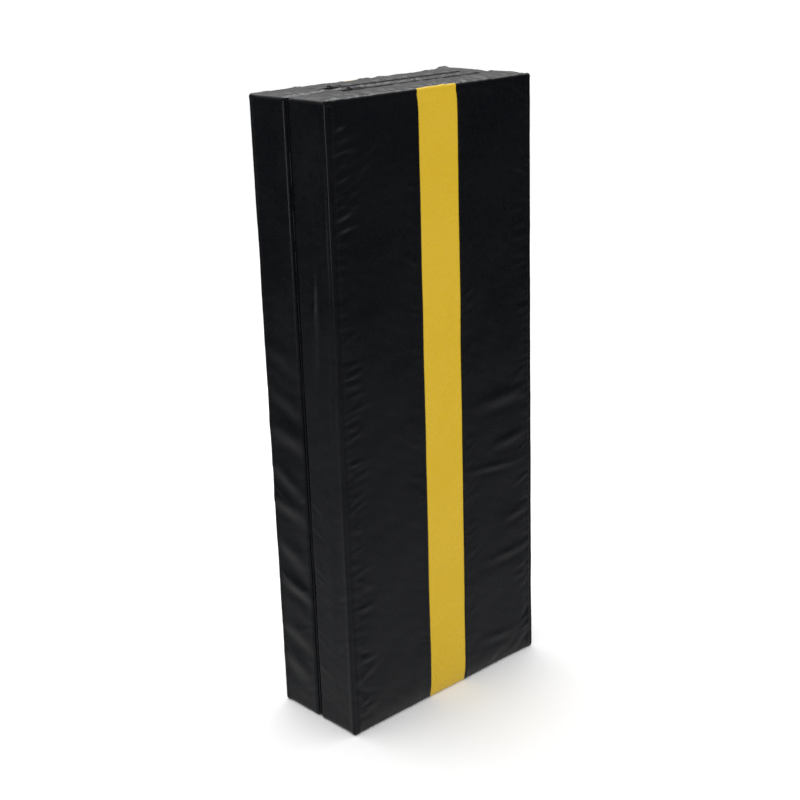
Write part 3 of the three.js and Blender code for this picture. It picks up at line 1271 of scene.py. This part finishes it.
        def place(x: float, depth: float, z: float) -> Vector:
            """A point of the panel, in the frame."""
            return Vector((x, side.value * (p.inner_y + depth), z))

        out, inward = p.high.y, Vector((0, -side.value, 0))
        inset = 6 * MM
        for x, towards in zip(p.seam_x, (1, -1)):
            at = x + towards * inset
            thread.row(place(at, out, z0), place(at, out, z1), inward)
            thread.row(place(at, 0, z0), place(at, 0, z1), -inward)
        for x, towards in zip(p.stripe_x, (-1, 1)):
            low, high = (x + towards * 3 * MM + slant for slant in self.lean)
            thread.row(place(low, out, z0), place(high, out, z1), inward)
        for depth in (p.edge + 4 * MM, out - p.edge - 4 * MM):
            first, last = p.seam_x
            thread.row(place(first, depth, p.high.z), place(last, depth, p.high.z), Vector((0, 0, -1)))
        for depth in (p.zip_depth[0] - 3 * MM, p.zip_depth[1] + 3 * MM):
            first, last = p.zip_x[0] - 3 * MM, p.zip_x[1] + 3 * MM
            thread.row(place(first, depth, p.high.z), place(last, depth, p.high.z), Vector((0, 0, -1)))
        thread.build(self.finishes.thread, side.body)


@dataclass
class FoamCore:
    """The two laminated foam slabs inside a panel's cover."""

    plan: Plan
    finishes: Finishes
    inset: float = 4.2 * MM  # keeps the slabs clear of the cover's deepest wrinkles
    corner: float = 5 * MM

    def build(self) -> None:
        """Makes both slabs."""
        label = self.plan.side.label
        whole = [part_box(f"{label}_foam_{layer}") for layer in ("inner", "outer")]
        low = Vector(map(min, *(box[0] for box in whole)))
        high = Vector(map(max, *(box[1] for box in whole)))
        for layer, box in zip(("inner", "outer"), whole):
            room = Vector((self.inset,) * 3)
            a = Vector(map(max, box[0], low + room))
            b = Vector(map(min, box[1], high - room))
            slab = new_block(f"{label}_foam_{layer}_slab", a, b)
            with editing(slab, "EDGE"):
                bpy.ops.mesh.bevel(offset=self.corner, segments=3, affect="EDGES")
            smooth(slab)
            soft = layer == "outer"
            dress(slab, self.finishes.soft_foam if soft else self.finishes.firm_foam)
            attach(slab, self.plan.side.body)
            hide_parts(f"{label}_foam_{layer}")
            LOG.info("%s", slab.name)


@dataclass
class Zip:
    """The zip across the top end of a panel: two tapes with their coils, stops, slider and pull."""

    plan: Plan
    finishes: Finishes
    tape_thickness: float = 0.6 * MM
    underlap: float = 1 * MM
    tooth_pitch: float = 1.5 * MM

    def tape(self, edge: str) -> None:
        """Makes one tape, which slopes down from its coil to pass under the cover.

        Args:
            edge: inner or outer, the side of the chain that it is on.
        """
        p, side = self.plan, self.plan.side
        low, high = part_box(f"{side.label}_zip_tape_{edge}")
        middle = side.value * (p.inner_y + sum(p.zip_depth) / 2)
        ys = sorted((low.y, high.y), key=lambda y: abs(y - middle))
        name = f"{side.label}_zip_tape_{edge}_woven"
        rim = ys[1] + math.copysign(self.underlap, ys[1] - middle)
        near = ys[0] + math.copysign(0.2 * MM, ys[1] - middle)
        top = p.high.z
        y0, y1 = sorted((near, rim))
        tape = new_block(name, Vector((low.x, y0, top - self.tape_thickness)), Vector((high.x, y1, top)))
        with editing(tape):
            for step in range(1, 12):
                bpy.ops.mesh.select_all(action="SELECT")
                place = y0 + (y1 - y0) * step / 12
                bpy.ops.mesh.bisect(plane_co=(0, place, 0), plane_no=(0, 1, 0))
            for step in range(1, 60):
                bpy.ops.mesh.select_all(action="SELECT")
                place = low.x + (high.x - low.x) * step / 60
                bpy.ops.mesh.bisect(plane_co=(place, 0, 0), plane_no=(1, 0, 0))
        points = points_of(tape)
        away = np.abs(points[:, 1] - middle)
        points[:, 2] -= 1.5 * MM * smooth_step(4.5 * MM, 6.5 * MM, away)
        points[:, 2] += 0.12 * MM * np.sin(points[:, 0] / (5 * MM)) * smooth_step(4 * MM, 9 * MM, away)
        set_points(tape, points)
        apply_modifier(tape, "BEVEL", width=0.15 * MM, segments=2, limit_method="ANGLE")
        smooth(tape)
        dress(tape, self.finishes.tape)
        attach(tape, side.body)
        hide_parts(f"{side.label}_zip_tape_{edge}")
        LOG.info("%s", tape.name)

    def coil(self, edge: str) -> None:
        """Makes one side's coil as a row of rounded turns.

        Args:
            edge: inner or outer, the side of the chain that it is on.
        """
        p, side = self.plan, self.plan.side
        low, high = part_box(f"{side.label}_zip_tape_{edge}")
        middle = side.value * (p.inner_y + sum(p.zip_depth) / 2)
        near = min((low.y, high.y), key=lambda y: abs(y - middle))
        radius = high.z - p.high.z
        centre_y = near + math.copysign(radius, near - middle)
        bpy.ops.object.select_all(action="DESELECT")
        bpy.ops.mesh.primitive_torus_add(
            major_segments=10,
            minor_segments=4,
            major_radius=radius - 0.25 * MM,
            minor_radius=0.3 * MM,
            location=(low.x + self.tooth_pitch, centre_y, p.high.z),
            rotation=(0, math.radians(78), 0),
        )
        turn = bpy.context.active_object
        turn.name = turn.data.name = f"{side.label}_zip_coil_{edge}"
        bpy.ops.object.transform_apply(location=True, rotation=True, scale=True)
        count = int((high.x - low.x) / self.tooth_pitch) - 2
        apply_modifier(
            turn,
            "ARRAY",
            count=count,
            use_relative_offset=False,
            use_constant_offset=True,
            constant_offset_displace=(self.tooth_pitch, 0, 0),
        )
        turn.data.polygons.foreach_set("use_smooth", [True] * len(turn.data.polygons))
        dress(turn, self.finishes.coil)
        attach(turn, side.body)
        LOG.info("%s: %d turns", turn.name, count)

    def metal(self) -> None:
        """Gives the slider, its pull and the stops rounded edges and their finish."""
        for part in ("zip_slider", "zip_pull", "zip_stop_start", "zip_stop_end"):
            node = frame["nodes"][f"{self.plan.side.label}_{part}"]
            weld = node.modifiers.new("Weld", "WELD")
            weld.merge_threshold = 0.01 * MM
            bevel = node.modifiers.new("Rounded", "BEVEL")
            bevel.width = 0.25 * MM
            bevel.segments = 3
            bevel.limit_method = "ANGLE"
            bevel.harden_normals = True
            dress(node, self.finishes.metal)
            LOG.info("%s", node.name)

    def build(self) -> None:
        """Makes the whole zip."""
        for edge in ("inner", "outer"):
            self.tape(edge)
            self.coil(edge)
        self.metal()


@dataclass
class Handle:
    """A webbing carry handle with boxed stitching, on two vinyl patches."""

    plan: Plan
    finishes: Finishes
    thickness: float = 2.2 * MM
    rows: int = 96
    columns: int = 14
    patch_margin: float = 6 * MM  # of the patch beyond the webbing, and the radius of its corners
    stitch_inset: float = 4 * MM
    stitch_pitch: float = 3.4 * MM
    stitch_length: float = 2.6 * MM

    def strap(self) -> bpy.types.Object:
        """Makes the webbing, with ribbed edges and a bowed grip.

        Returns:
            The piece.
        """
        label = self.plan.side.label
        low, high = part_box(f"{label}_handle_strap")
        _, patch_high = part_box(f"{label}_handle_patch_lower")
        upper_low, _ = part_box(f"{label}_handle_patch_upper")
        foot, thickness = patch_high.x + 0.3 * MM, self.thickness
        reach = high.x - foot - thickness
        grip_low, grip_high = patch_high.z - self.patch_margin, upper_low.z + self.patch_margin
        middle = (grip_low + grip_high) / 2
        name = f"{label}_handle_strap_webbing"
        strap = new_block(name, Vector((foot, low.y, low.z)), Vector((foot + thickness, high.y, high.z)))
        with editing(strap):
            for step in range(1, self.rows):
                bpy.ops.mesh.select_all(action="SELECT")
                place = low.z + (high.z - low.z) * step / self.rows
                bpy.ops.mesh.bisect(plane_co=(0, 0, place), plane_no=(0, 0, 1))
            for step in range(1, self.columns):
                bpy.ops.mesh.select_all(action="SELECT")
                place = low.y + (high.y - low.y) * step / self.columns
                bpy.ops.mesh.bisect(plane_co=(0, place, 0), plane_no=(0, 1, 0))
        points = points_of(strap)
        share = np.minimum(np.abs(points[:, 2] - middle) / ((grip_high - grip_low) / 2), 1)
        side_share = np.abs(points[:, 1] - (low.y + high.y) / 2) / ((high.y - low.y) / 2)
        outside = points[:, 0] > foot + thickness / 2
        bow = reach * (1 + np.cos(np.pi * share)) / 2
        cup = 1.2 * MM * (1 - share) * side_share**2
        thin = np.where(outside, -0.35 * MM * smooth_step(0.82, 1.0, side_share), 0)
        points[:, 0] += bow - cup + thin
        set_points(strap, points)
        apply_modifier(strap, "BEVEL", width=0.5 * MM, segments=2, limit_method="ANGLE", angle_limit=0.9)
        smooth(strap)
        dress(strap, self.finishes.webbing)
        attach(strap, self.plan.side.body)
        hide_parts(f"{label}_handle_strap")
        LOG.info("%s", strap.name)
        return strap

    def patch(self, end: str) -> bpy.types.Object:
        """Makes one patch, with rounded corners and a softened edge.

        Args:
            end: lower or upper.
        Returns:
            The piece.
        """
        label = self.plan.side.label
        node = f"{label}_handle_patch_{end}"
        low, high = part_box(node)
        patch = new_block(f"{node}_vinyl", low, high)
        with editing(patch, "EDGE"):
            bpy.ops.mesh.select_all(action="DESELECT")
        for edge in patch.data.edges:
            start, end_point = (patch.data.vertices[index].co for index in edge.vertices)
            edge.select = abs(start.x - end_point.x) > 0.1 * MM
        make_active(patch)
        bpy.ops.object.mode_set(mode="EDIT")
        bpy.ops.mesh.select_mode(type="EDGE")
        bpy.ops.mesh.bevel(offset=self.patch_margin, segments=5, affect="EDGES")
        bpy.ops.object.mode_set(mode="OBJECT")
        apply_modifier(patch, "BEVEL", width=0.35 * MM, segments=3, limit_method="ANGLE", angle_limit=0.9)
        smooth(patch)
        dress(patch, self.finishes.black)
        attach(patch, self.plan.side.body)
        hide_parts(node)
        LOG.info("%s", patch.name)
        return patch

    def thread(self, name: str, under: bpy.types.Object) -> Thread:
        """Starts a piece of thread on a surface.

        Args:
            name: the piece's name.
            under: the object that is sewn through.
        Returns:
            The thread, with no stitches yet.
        """
        surface = BVHTree.FromObject(under, bpy.context.evaluated_depsgraph_get())
        return Thread(name, surface, self.stitch_pitch, self.stitch_length)

    def box_stitches(self, thread: Thread, end: str) -> None:
        """Sews one end of the webbing down with a box and a cross.

        Args:
            thread: takes the stitches.
            end: lower or upper.
        """
        label = self.plan.side.label
        low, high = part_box(f"{label}_handle_patch_{end}")
        margin = self.patch_margin + self.stitch_inset
        x = high.x + 2.5 * MM
        y0, y1 = low.y + margin, high.y - margin
        z0, z1 = low.z + margin, high.z - margin
        corners = [Vector((x, y0, z0)), Vector((x, y1, z0)), Vector((x, y1, z1)), Vector((x, y0, z1))]
        sides = list(zip(corners, corners[1:] + corners[:1]))
        for start, finish in [*sides, (corners[0], corners[2]), (corners[1], corners[3])]:
            thread.row(start, finish, Vector((-1, 0, 0)))

    def rim_stitches(self, thread: Thread, end: str) -> None:
        """Sews one patch down near its rim, clear of its rounded corners.

        Args:
            thread: takes the stitches.
            end: lower or upper.
        """
        low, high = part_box(f"{self.plan.side.label}_handle_patch_{end}")
        rim, turn = 2.6 * MM, self.patch_margin
        y0, y1 = low.y + rim, high.y - rim
        z0, z1 = low.z + rim, high.z - rim
        x, inward = high.x, Vector((-1, 0, 0))
        for y in (y0, y1):
            thread.row(Vector((x, y, z0 + turn)), Vector((x, y, z1 - turn)), inward)
        for z in (z0, z1):
            thread.row(Vector((x, y0 + turn, z)), Vector((x, y1 - turn, z)), inward)

    def build(self) -> None:
        """Makes the handle and sews it on."""
        label, body = self.plan.side.label, self.plan.side.body
        on_strap = self.thread(f"{label}_handle_thread", self.strap())
        patches = {end: self.patch(end) for end in ("lower", "upper")}
        for end, patch in patches.items():
            on_patch = self.thread(f"{label}_handle_patch_{end}_thread", patch)
            self.box_stitches(on_strap, end)
            self.rim_stitches(on_patch, end)
            on_patch.build(self.finishes.thread, body)
        on_strap.build(self.finishes.thread, body)


@dataclass
class HingeStrip:
    """The fabric hinge: a vinyl strip folded into a U, with a leg sewn to each panel."""

    finishes: Finishes
    columns: int = 28
    rows: int = 150
    thickness: float = 0.9 * MM
    bend: float = 2.2 * MM  # the span over which the strip passes from one panel to the other

    def build(self) -> None:
        """Makes the strip, which bends between the two panels."""
        low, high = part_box("hinge_strip")
        outer = high.y - 0.05 * MM - self.thickness / 2
        straight = high.x - (low.x + high.y)
        total = 2 * straight + math.pi * outer
        bpy.ops.object.select_all(action="DESELECT")
        bpy.ops.mesh.primitive_grid_add(
            x_subdivisions=self.columns * 2, y_subdivisions=self.rows, size=1.0, location=(0, 0, 0)
        )
        strip = bpy.context.active_object
        strip.name = strip.data.name = "hinge_strip_vinyl"
        flat = points_of(strip)
        along = (flat[:, 0] + 0.5) * total
        z = low.z + (flat[:, 1] + 0.5) * (high.z - low.z)
        fold_x = high.x - straight
        turn = np.clip((along - straight) / outer, 0, math.pi)
        x = np.where(along < straight, high.x - along, fold_x - outer * np.sin(turn))
        x = np.where(along > straight + math.pi * outer, fold_x + along - straight - math.pi * outer, x)
        y = outer * np.cos(turn)
        crease = 0.25 * MM * np.sin(z / (17 * MM)) * np.sin(turn) * np.sin(z / (61 * MM))
        set_points(strip, np.stack((x - crease, y, z), 1))
        apply_modifier(strip, "SOLIDIFY", thickness=self.thickness, offset=0)
        smooth(strip, 50)
        dress(strip, self.finishes.black)
        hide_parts("hinge_strip")
        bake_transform(strip)
        LOG.info("%s", strip.name)


# ---------- studio ----------


@dataclass(frozen=True)
class Viewpoint:
    """The camera: its place from the foot of the near corner, its turn, and its lens."""

    offset: tuple[float, float, float] = (-1.573, -1.872, 1.503)
    yaw: float = 42.60
    pitch: float = 18.46
    roll: float = -1.90
    lens: float = 64.67

    def build(self) -> None:
        """Makes the camera and sets it as the scene's."""
        data = bpy.data.cameras.new("camera")
        data.lens = self.lens
        data.sensor_width = 36
        camera = bpy.data.objects.new("camera", data)
        bpy.context.scene.collection.objects.link(camera)
        low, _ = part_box("front_bottom_gusset")
        yaw, pitch, roll = (math.radians(a) for a in (self.yaw, self.pitch, self.roll))
        ahead = Vector(
            (math.sin(yaw) * math.cos(pitch), math.cos(yaw) * math.cos(pitch), -math.sin(pitch))
        )
        right = Vector((math.cos(yaw), -math.sin(yaw), 0))
        up = right.cross(ahead)
        tilted_right = math.cos(roll) * right + math.sin(roll) * up
        tilted_up = -math.sin(roll) * right + math.cos(roll) * up
        turn = Matrix((tilted_right, tilted_up, -ahead)).transposed().to_4x4()
        camera.matrix_world = Matrix.Translation(low + Vector(self.offset)) @ turn
        bpy.context.scene.camera = camera


@dataclass(frozen=True)
class Studio:
    """A plain pale floor, even soft light, and darkness on the camera's side for gloss to mirror."""

    floor_size: float = 120.0
    behind: tuple[float, float] = (0.68, 0.73)

    def floor(self) -> None:
        """Makes the floor, which glossy vinyl doesn't mirror."""
        bpy.ops.object.select_all(action="DESELECT")
        bpy.ops.mesh.primitive_plane_add(size=self.floor_size, location=(0, 0, 0))
        floor = bpy.context.active_object
        floor.name = "floor"
        bpy.ops.object.transform_apply(location=True, rotation=True, scale=True)
        made = bpy.data.materials.new("painted_plywood_floor")
        made.use_nodes = True
        tree = made.node_tree
        shader = tree.nodes["Principled BSDF"]
        place = add_node(tree, "ShaderNodeTexCoord").outputs["Object"]
        cloud = add_node(tree, "ShaderNodeTexNoise", {"Vector": place, "Scale": 1.5, "Detail": 3.0})
        tint = add_node(tree, "ShaderNodeMix", {"Factor": cloud.outputs["Fac"]}, data_type="RGBA")
        tint.inputs[6].default_value = srgb("#fafafa")
        tint.inputs[7].default_value = srgb("#fdfdfd")
        tree.links.new(tint.outputs[2], shader.inputs["Base Color"])
        shader.inputs["Roughness"].default_value = 0.9
        shader.inputs["Specular IOR Level"].default_value = 0.1
        dress(floor, made)
        floor.visible_glossy = False

    def sky(self) -> None:
        """Lights the scene evenly, and shapes what gloss mirrors."""
        world = bpy.data.worlds.new("studio")
        bpy.context.scene.world = world
        world.use_nodes = True
        tree = world.node_tree
        tree.nodes.clear()
        way = add_node(tree, "ShaderNodeTexCoord").outputs["Generated"]
        parts = add_node(tree, "ShaderNodeSeparateXYZ", {0: way}).outputs
        across = add_node(tree, "ShaderNodeMath", {0: parts[0], 1: self.behind[0]}, operation="MULTIPLY")
        depth = add_node(
            tree,
            "ShaderNodeMath",
            {0: parts[1], 1: self.behind[1], 2: across.outputs[0]},
            operation="MULTIPLY_ADD",
        )
        below = add_node(
            tree,
            "ShaderNodeMapRange",
            {"Value": parts[2], "From Min": -0.22, "From Max": -0.60, "To Min": 0.0, "To Max": 0.36},
        )
        above = add_node(
            tree,
            "ShaderNodeMapRange",
            {"Value": depth.outputs[0], "From Min": 0.1, "From Max": 0.95, "To Min": 0.02, "To Max": 0.38},
        )
        height = add_node(
            tree,
            "ShaderNodeMapRange",
            {"Value": parts[2], "From Min": 0.30, "From Max": 0.72, "To Min": 0.9, "To Max": 5.5},
        )
        bright = add_node(
            tree, "ShaderNodeMath", {0: above.outputs[0], 1: height.outputs[0]}, operation="MULTIPLY"
        )
        upper = add_node(
            tree,
            "ShaderNodeMapRange",
            {"Value": parts[2], "From Min": -0.04, "From Max": 0.06, "To Min": 0.0, "To Max": 1.0},
        )
        mirrored = add_node(
            tree,
            "ShaderNodeMix",
            {"Factor": upper.outputs[0], 2: below.outputs[0], 3: bright.outputs[0]},
            data_type="FLOAT",
        )
        rays = add_node(tree, "ShaderNodeLightPath").outputs
        glossy = add_node(
            tree,
            "ShaderNodeMix",
            {"Factor": rays["Is Glossy Ray"], 2: 1.06, 3: mirrored.outputs[0]},
            data_type="FLOAT",
        )
        seen = add_node(
            tree,
            "ShaderNodeMix",
            {"Factor": rays["Is Camera Ray"], 2: glossy.outputs[0], 3: 1.0},
            data_type="FLOAT",
        )
        light = add_node(
            tree, "ShaderNodeBackground", {"Color": srgb("#ffffff"), "Strength": seen.outputs[0]}
        )
        out = add_node(tree, "ShaderNodeOutputWorld", {"Surface": light.outputs[0]})
        out.is_active_output = True

    @staticmethod
    def softbox(name: str, place: Vector, aim: Vector, size: tuple[float, float], watts: float) -> None:
        """Adds a soft area light.

        Args:
            name: the light's name.
            place: where it stands.
            aim: the point that it faces.
            size: its width and height.
            watts: its power.
        """
        data = bpy.data.lights.new(name, "AREA")
        data.shape = "RECTANGLE"
        data.size, data.size_y = size
        data.energy = watts
        lamp = bpy.data.objects.new(name, data)
        bpy.context.scene.collection.objects.link(lamp)
        turn = (aim - place).to_track_quat("-Z", "Y").to_matrix().to_4x4()
        lamp.matrix_world = Matrix.Translation(place) @ turn
        lamp.visible_camera = False

    def build(self) -> None:
        """Makes the floor and the lights."""
        self.floor()
        self.sky()
        self.softbox("overhead", Vector((0.3, 0.6, 3.4)), Vector((0, 0, 0.6)), (2.6, 2.0), 50)
        self.softbox("left_strip", Vector((-2.6, 0.75, 0.85)), Vector((-0.2, 0, 0.8)), (0.7, 1.0), 3.4)
        bpy.context.scene.view_settings.view_transform = "Standard"


# ---------- the whole mat ----------


def main() -> None:
    """Builds the mat piece by piece, around the CAD frame."""
    logging.basicConfig(level=logging.INFO, format="%(name)s %(message)s")
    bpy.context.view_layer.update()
    finishes = Finishes()
    Viewpoint().build()
    Studio().build()
    shell = Shell(Plan.of(Side.BACK)).build()
    for side in Side:
        plan = Plan.of(side)
        cover = Cover(plan, finishes, shell)
        surface = cover.build()
        cover.stitch(surface)
        FoamCore(plan, finishes).build()
        Zip(plan, finishes).build()
        Handle(plan, finishes).build()
    bpy.data.objects.remove(shell[3])
    HingeStrip(finishes).build()


if __name__ == "__main__":
    main()
